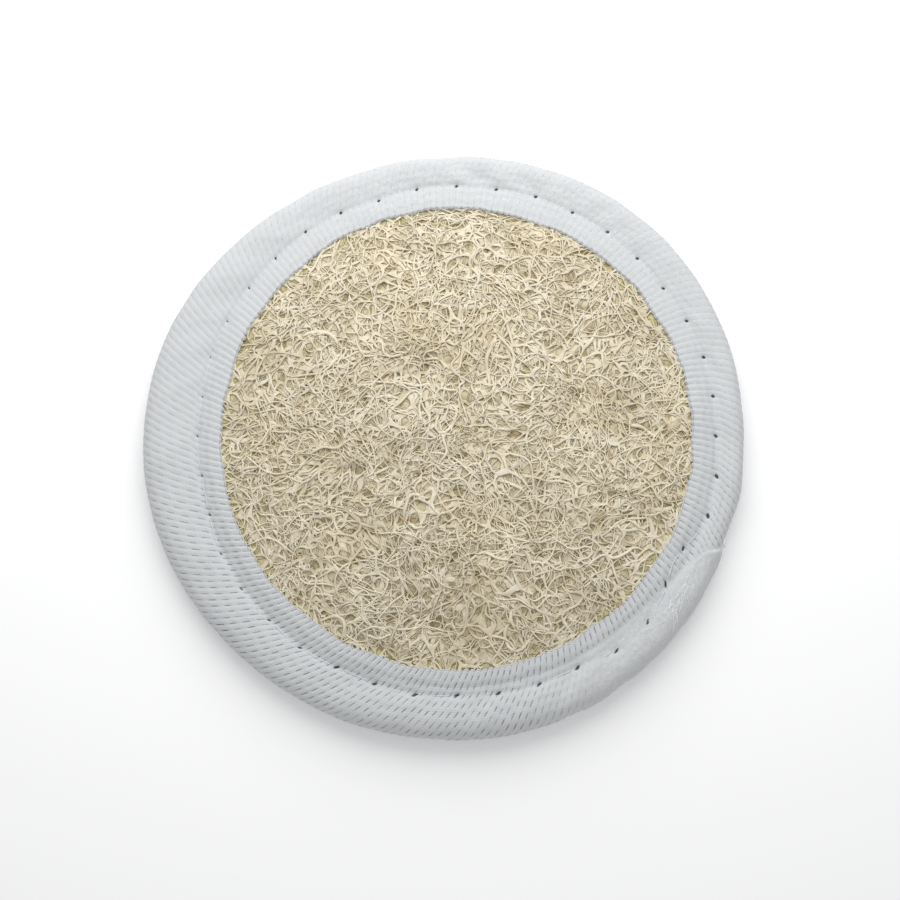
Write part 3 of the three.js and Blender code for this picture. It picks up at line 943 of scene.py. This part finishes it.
def tape_band(tape, columns):
    """The whole folded strip as a closed band. Each column runs along a rib, so its angle turns with the
    rib's slant. The outside carries the ribs, the inside lies one thickness under it, and the two are joined
    by half rounds at the lips. It gives the points, their rib numbers and ways across, and their values."""
    across = tape_rows(tape)[:, None]
    place = tape.place_of(across)
    start = TURN * np.arange(columns)[None] / columns
    theta = tape.turned(start, across)
    lift = tape.lift(theta, place, across)
    outside = tape.point(theta, place, lift)
    back = np.linspace(SECTION_END, 0, SECTION_END + 1)[:, None]
    back_across = tape.across_of(back)
    back_theta = tape.turned(start, back_across)
    inside = tape.point(back_theta, back, np.full(back_theta.shape, -tape.thickness))
    back_lip = half_round(outside[-1], inside[0], outside[-2])
    front_lip = half_round(inside[-1], outside[0], inside[-2])
    points = np.concatenate([outside, back_lip, inside, front_lip])
    reach = np.where(place < RIM, np.minimum(tape.hole_reach(theta, across), FAR), FAR)
    extra = points.shape[0] - outside.shape[0]
    phase = np.broadcast_to(tape.phase(start, 0 * start), (points.shape[0], columns))
    ways = np.concatenate([across, np.full((extra, 1), across[-1, 0])]) + 0 * phase
    # The hole and gaps values set the painted shade in the needle holes and the weave's gaps.
    values = {
        "hole": np.concatenate([reach, np.full((extra, columns), FAR)]),
        "ribbed": rib_share(start + 0 * phase),
        "gaps": np.concatenate([gap_share(theta), np.zeros((extra, columns))]),
    }
    return points, np.stack([phase, ways], axis=-1), values


def half_round(first, last, before, count=4):
    """Rows that join two edges of a strip in a half round, which bulges away from the row before the first
    edge: the middle of the two, plus a turning half step between them, plus a bulge along the strip."""
    middle, half = (first + last) / 2, (first - last) / 2
    size = np.linalg.norm(half, axis=-1, keepdims=True)
    ahead = unit(first - before)
    angles = math.pi * np.arange(1, count + 1)[:, None, None] / (count + 1)
    return middle + half * np.cos(angles) + ahead * size * np.sin(angles)


def end_edges(tape, past):
    """Where the laid-over end's fold and its far edge are across the tape. The fold runs in from the notch
    along a falling exponential curve, and then on beside the lip."""
    fold = FOLD_STRIP + (RIM - FOLD_STRIP) * np.exp(-past / FOLD_RUN)
    return tape.across_of(fold), tape.across_of(END_FAR_EDGE)


def end_heights(tape, past, across):
    """How far the tape and the laid-over end stand out of the smooth section, and how ribbed the end is. The
    end is one thickness over the tape, rounded down at its edges, with soft swellings of its own."""
    fold_across, far_across = end_edges(tape, past)
    theta = np.radians(NOTCH - past) + 0 * across
    share = layer_share(theta)
    from_start = (past - END_START) * math.radians(1) * tape.seam
    near = np.minimum(np.minimum(across - fold_across, far_across - across), from_start)
    round_edge = smooth(near, 0, 1.3)
    ribbed = 0.3 + 0.7 * smooth(past, 26, 56) + 0 * across
    x, y = tape.seam * np.cos(theta), tape.seam * np.sin(theta)
    soft = 0.10 * ripple(x + across, y, 5, 21) + 0.035 * ripple(x, y + 2 * across, 1.6, 22)
    own = tape.lift(theta, tape.place_of(across), across, smoothing=1 - ribbed)
    top = own + share * tape.thickness * (0.7 * round_edge - 0.12) + soft * share * round_edge + 0.02
    return own, top, ribbed


def end_layer(tape, columns, rows):
    """The laid-over end of the tape: a thin slab on the tape's front and rim, between the two edges. It grows
    thin where it merges with the tape."""
    past = np.linspace(END_START, END_FADE[1] - 1, columns)[:, None]
    theta = np.radians(NOTCH - past)
    fold_across, far_across = end_edges(tape, past)
    across = fold_across + (far_across - fold_across) * np.linspace(0, 1, rows)[None] ** 1.5
    place = tape.place_of(across)
    theta = theta + 0 * across
    own, top, ribbed = end_heights(tape, past, across)
    upper = tape.point(theta, place, top)
    lower = tape.point(theta, place, np.minimum(own, 0) - 0.18)
    reach = np.minimum(tape.hole_reach(theta, across), FAR)
    phase = tape.phase(theta, across)
    uv = np.concatenate([np.stack([phase, across], axis=-1)] * 2)
    # The hole and gaps values set the painted shade in the needle holes and the weave's gaps.
    values = {
        "hole": np.concatenate([reach, 0 * reach + FAR]),
        "ribbed": np.concatenate([ribbed, ribbed]),
        "gaps": np.concatenate([gap_share(theta) * smooth(past, 36, 58)] * 2),
    }
    return np.concatenate([upper, lower]), uv, values


def slab_faces(columns, rows):
    """Faces of a slab whose top and bottom are two grids of the same size, joined round their four edges."""
    top = grid_faces(columns, rows)
    size = columns * rows
    i, j = np.arange(columns), np.arange(rows)
    edges = [i[:-1] * rows, (columns - 1) * rows + j[:-1], i[:0:-1] * rows + rows - 1, j[:0:-1]]
    loop = np.concatenate(edges)
    ahead = np.roll(loop, -1)
    walls = np.stack([loop, loop + size, ahead + size, ahead], axis=-1)
    return [top, top[:, ::-1] + size, walls[:, ::-1]]


def loose_hairs(tape, count, seed):
    """Loose hairs on the laid-over end: each starts at a random place on it and curls along the cloth, a
    little over it. Some stand out of the notch in the rim."""
    draw = np.random.default_rng(seed)
    steps = 12
    t = np.linspace(0, 1, steps)[None]
    past = draw.normal(15, 4, count)[:, None]
    across = draw.normal(2.7, 0.7, count)[:, None]
    heading = draw.normal(0.3, 0.4, count)[:, None]
    length = draw.uniform(1.0, 3.0, count)[:, None]
    turn = heading + draw.normal(0, 0.4, count)[:, None] * t
    step = length / (steps - 1)
    past = past + np.degrees(np.cumsum(np.cos(turn) * step, axis=1) / tape.seam)
    way = across + np.cumsum(np.sin(turn) * step, axis=1)
    _, surface, _ = end_heights(tape, past, way)
    lift = surface + 0.02 + draw.uniform(0.0, 0.06, count)[:, None] * np.sin(math.pi * t)
    paths = tape.point(np.radians(NOTCH - past), tape.place_of(way), lift)
    frayed = 16
    tip = draw.uniform(0.4, 1.3, frayed)[:, None] * t
    spread = draw.normal(0, 0.35, frayed)[:, None]
    way = tape.across_of(RIM) + draw.uniform(-1.6, 1.2, frayed)[:, None] + spread * tip
    theta = math.radians(NOTCH) + (tip * draw.uniform(0.4, 1.0, frayed)[:, None] - 0.3) / OUTLINE_RADIUS
    lift = 0.25 + 0.35 * tip * draw.uniform(-0.6, 1.0, frayed)[:, None] + 0.08 * np.sin(TURN * t)
    fringe = tape.point(theta, tape.place_of(way), lift)
    radius = draw.uniform(0.03, 0.055, count + frayed)[:, None] * (1 - 0.6 * t)
    return rods(np.concatenate([paths, fringe]), radius, 4)


class PAD_OT_tape(Operator):
    """The folded cotton tape, its laid-over end and the loose hairs on it"""

    bl_idname = "pad.tape"
    bl_label = "Binding tape"

    def execute(self, context):
        tape = Tape(context.scene.pad_sizes)
        cotton = tape_material(context.scene.pad_colours)
        columns = 4 * tape.ribs
        points, uv, values = tape_band(tape, columns)
        faces = [grid_faces(len(points), columns, row_loop=True, column_loop=True)]
        band = new_piece(
            "binding_tape_band", points, faces, cotton, "binding_tape", uv=uv, values=values,
        )
        mend_seam_uv(band, tape.ribs)
        columns, rows = 270, 36
        points, uv, values = end_layer(tape, columns, rows)
        faces = slab_faces(columns, rows)
        end = new_piece(
            "binding_tape_end", points, faces, cotton, "binding_tape", uv=uv, values=values,
        )
        points, faces = loose_hairs(tape, count=34, seed=71)
        # Painted highlight: the hairs are coloured whiter than the tape's cotton.
        fluff = thread_material("loose cotton hair", HAIR_HIGHLIGHT_WHITE, HAIR_HIGHLIGHT_BASE)
        hairs = new_piece("binding_tape_hairs", points, faces, fluff, "binding_tape")
        return {"FINISHED"}


def mend_seam_uv(band, ribs):
    """Faces that cross from the last column to the first get rib numbers that go on counting."""
    layer = band.data.uv_layers["Cloth"].data
    numbers = np.empty(len(layer) * 2, dtype=np.float32)
    layer.foreach_get("uv", numbers)
    corners = numbers.reshape(-1, 4, 2)
    wraps = np.ptp(corners[..., 0], axis=1) > ribs / 2
    low = corners[..., 0] < ribs / 2
    corners[..., 0] += ribs * (wraps[:, None] & low)
    layer.foreach_set("uv", corners.ravel())


# The seam.


def stitch_path(tape, place, depth, lift, steps):
    """One thread of the seam round the pad. Between needle holes it lies in the groove, and at each hole it
    dives to the middle of the stack, where the two threads cross: the dive falls off with the fourth power
    of the way from the hole, in an exponential. Points are closer near the holes."""
    share = np.arange(steps) / steps
    slow = share - 0.16 * np.sin(2 * TURN * share) / 2
    stitch = np.arange(tape.stitches)[:, None] + slow[None]
    theta = (TURN * stitch / tape.stitches).ravel()
    off = np.minimum(slow, 1 - slow) * TURN * tape.seam / tape.stitches
    dive = np.tile(np.exp(-((off / 0.6) ** 4)), tape.stitches)
    out = 1 if place < RIM else -1
    across = tape.across_of(place) + out * seam_wander(theta)
    return tape.point(theta, tape.place_of(across), lift(theta)) + depth * dive[:, None] * (0, 0, 1)


def closed_rod(path, radius, sides, twist):
    """A thread along a closed path, of two plies: its section has two lobes that turn with the way along."""
    along = unit(np.roll(path, -1, axis=0) - np.roll(path, 1, axis=0))
    outward = unit((path - (*MIDDLE, 0)) * (1, 1, 0))
    up = unit(np.cross(outward, along))
    way = np.concatenate([[0], np.cumsum(np.linalg.norm(np.diff(path, axis=0), axis=1))])
    turns = np.round(way[-1] / twist)
    angles = TURN * np.arange(sides)[None] / sides
    lobes = 1 + 0.16 * np.cos(2 * (angles - TURN * turns * way[:, None] / way[-1]))
    ring = outward[:, None] * np.cos(angles)[..., None] + up[:, None] * np.sin(angles)[..., None]
    return path[:, None] + ring * (radius * lobes)[..., None]


class PAD_OT_seam(Operator):
    """The two threads of the lockstitch seam"""

    bl_idname = "pad.seam"
    bl_label = "Seam"

    def execute(self, context):
        tape = Tape(context.scene.pad_sizes)
        radius = context.scene.pad_sizes.thread_thickness / MM / 2
        thread = thread_material("sewing thread", context.scene.pad_colours.thread, THREAD_SHADE)
        middle = (TAPE_SECTION[FRONT_SEAM, 2] + TAPE_SECTION[BACK_SEAM, 2]) / 2
        dive = TAPE_SECTION[FRONT_SEAM, 2] - middle - radius
        sides = 8

        def front_lift(theta):
            past = past_notch(theta)
            cover = smooth(past, 8, 14) * layer_share(theta)
            return 0.42 * cover * tape.thickness - 0.12 + 0.05 * gap_share(theta)

        def back_lift(theta):
            return np.full(theta.shape, -0.06)

        runs = {
            "seam_thread_front": (FRONT_SEAM, -dive, front_lift),
            "seam_thread_back": (BACK_SEAM, dive, back_lift),
        }
        for name, (place, depth, lift) in runs.items():
            path = stitch_path(tape, place, depth, lift, steps=22)
            points = closed_rod(path, radius, sides, twist=0.9)
            faces = [grid_faces(len(points), sides, row_loop=True, column_loop=True)]
            new_piece(name, points, faces, thread, "sewing_thread")
        return {"FINISHED"}


# The backing.


def terry_ground(around):
    """The ground cloth of the backing as rings about its middle: an almost flat field whose edge rises into
    the tape."""
    underneath = [(0.15, 1.15), (10, 1.15), (20, 1.15), (27, 1.15), (29.5, 1.2), (31.2, 1.35)]
    edge = [(33.2, TERRY_EDGE_LOW), (FLANGE_RADIUS, TERRY_EDGE_LOW), (FLANGE_RADIUS, TERRY_TOP)]
    profile = underneath + edge + [(33, TERRY_TOP), (20, TERRY_TOP), (0.15, TERRY_TOP)]
    theta = TURN * np.arange(around)[None] / around
    radius, height = (np.array(column)[:, None] for column in zip(*profile))
    return from_polar(theta + 0 * radius, radius + 0 * theta, height + 0 * theta)


def terry_loops(spacing, seed):
    """The pile of the backing: each loop is an arch of soft yarn that hangs from the ground cloth, turned and
    leant at random, on a jittered grid."""
    draw = np.random.default_rng(seed)
    line = np.arange(-OPENING, OPENING, spacing)
    x, y = np.meshgrid(line, line)
    x = x.ravel() + draw.normal(0, 0.16, x.size) * spacing
    y = y.ravel() + draw.normal(0, 0.16, y.size) * spacing
    kept = np.hypot(x, y) < OPENING - 1.0
    x, y = x[kept, None], y[kept, None]
    count = len(x)
    t = np.linspace(0, 1, 8)[None]
    yarn, sides = 0.34, 4
    half = draw.uniform(0.4, 0.6, count)[:, None] * spacing
    heading = draw.uniform(0, TURN, count)[:, None]
    lean = draw.normal(0, 0.35, (2, count))[..., None] * spacing
    out = half * np.sin(math.pi * (t - 0.5)) * (1 + 0.35 * np.sin(TURN * t))
    drop = draw.uniform(0.85, 1.0, count)[:, None] * np.sin(math.pi * t) ** 0.7
    low, high = yarn + 0.02, 1.2
    z = high - (high - low) * drop
    path_x = x + out * np.cos(heading) + lean[0] * drop
    path_y = y + out * np.sin(heading) + lean[1] * drop
    radii = np.full(z.shape, yarn)
    points, faces = rods(from_middle(path_x, path_y, z), radii, sides, side_axis=(0.31, 0.17, 0.02))
    return points, faces, {"lift": np.repeat(drop.ravel(), sides)}


class PAD_OT_backing(Operator):
    """The terry cloth under the loofah: its ground cloth and its pile of loops"""

    bl_idname = "pad.backing"
    bl_label = "Terry backing"

    def execute(self, context):
        cotton = terry_material(context.scene.pad_colours)
        around = 128
        points = terry_ground(around)
        faces = disc_faces(len(points), around)
        flat = {"lift": np.zeros(points.shape[:2])}
        ground = new_piece("terry_ground", points, faces, cotton, "terry_backing", values=flat)
        points, faces, values = terry_loops(context.scene.pad_sizes.loop_spacing / MM, seed=81)
        loops = new_piece("terry_loops", points, faces, cotton, "terry_backing", values=values)
        return {"FINISHED"}


# The stage.

CAMERA_DISTANCE = 0.2985
CAMERA_ELEVATION = math.radians(79)
CAMERA_LENS = 90
CAMERA_AIM = (0.00087, -0.00133, 0.0035)
FLOOR_SIZE = 3.0
WINDOW_PLACE = (0.0, 0.1, 0.115)
WINDOW_SIZE = 0.2
WINDOW_POWER = 0.225
ROOM_COLOUR = (0.985, 0.99, 1.0, 1.0)
ROOM_STRENGTH = 0.58


def area_light(name, place, size, power):
    """A round soft light that looks at the origin."""
    light = bpy.data.lights.new(name, "AREA")
    light.shape = "DISK"
    light.size = size
    light.energy = power
    lamp = bpy.data.objects.new(name, light)
    lamp.location = place
    lamp.rotation_euler = (-Vector(place)).to_track_quat("-Z", "Y").to_euler()
    bpy.context.scene.collection.objects.link(lamp)


class PAD_OT_stage(Operator):
    """The pale floor, the soft light and the camera"""

    bl_idname = "pad.stage"
    bl_label = "Stage"

    def execute(self, context):
        half = FLOOR_SIZE / 2
        mesh = bpy.data.meshes.new("floor")
        corners = [(-half, -half, 0), (half, -half, 0), (half, half, 0), (-half, half, 0)]
        mesh.from_pydata(corners, [], [(0, 1, 2, 3)])
        mesh.materials.append(floor_material(context.scene.pad_colours))
        floor = bpy.data.objects.new("floor", mesh)
        context.scene.collection.objects.link(floor)
        area_light("window", WINDOW_PLACE, WINDOW_SIZE, WINDOW_POWER)
        world = bpy.data.worlds.new("soft room")
        world.use_nodes = True
        background = world.node_tree.nodes["Background"]
        background.inputs["Color"].default_value = ROOM_COLOUR
        background.inputs["Strength"].default_value = ROOM_STRENGTH
        context.scene.world = world
        data = bpy.data.cameras.new("camera")
        data.lens = CAMERA_LENS
        data.clip_start = 0.01
        camera = bpy.data.objects.new("camera", data)
        aim = Vector(CAMERA_AIM)
        away = Vector((0, -math.cos(CAMERA_ELEVATION), math.sin(CAMERA_ELEVATION)))
        camera.location = aim + away * CAMERA_DISTANCE
        camera.rotation_euler = (-away).to_track_quat("-Z", "Y").to_euler()
        context.scene.collection.objects.link(camera)
        context.scene.camera = camera
        context.scene.view_settings.view_transform = "Standard"
        return {"FINISHED"}


class PAD_PT_panel(Panel):
    """Builds the pad piece by piece"""

    bl_idname = "PAD_PT_panel"
    bl_label = "Scrub Pad"
    bl_space_type = "VIEW_3D"
    bl_region_type = "UI"
    bl_category = "Scrub Pad"

    def draw(self, context):
        column = self.layout.column()
        for settings in (context.scene.pad_sizes, context.scene.pad_colours):
            for name in settings.bl_rna.properties.keys():
                if name not in ("rna_type", "name"):
                    column.prop(settings, name)
        for operator in OPERATORS:
            column.operator(operator.bl_idname)


OPERATORS = (PAD_OT_loofah, PAD_OT_tape, PAD_OT_seam, PAD_OT_backing, PAD_OT_stage)
CLASSES = (PadSizes, PadColours, *OPERATORS, PAD_PT_panel)


def register():
    for cls in CLASSES:
        bpy.utils.register_class(cls)
    bpy.types.Scene.pad_sizes = PointerProperty(type=PadSizes)
    bpy.types.Scene.pad_colours = PointerProperty(type=PadColours)


def unregister():
    del bpy.types.Scene.pad_colours
    del bpy.types.Scene.pad_sizes
    for cls in reversed(CLASSES):
        bpy.utils.unregister_class(cls)


def main():
    """Builds the stage and the pad."""
    register()
    bpy.ops.pad.stage()
    bpy.ops.pad.loofah()
    bpy.ops.pad.tape()
    bpy.ops.pad.seam()
    bpy.ops.pad.backing()


if __name__ == "__main__":
    main()
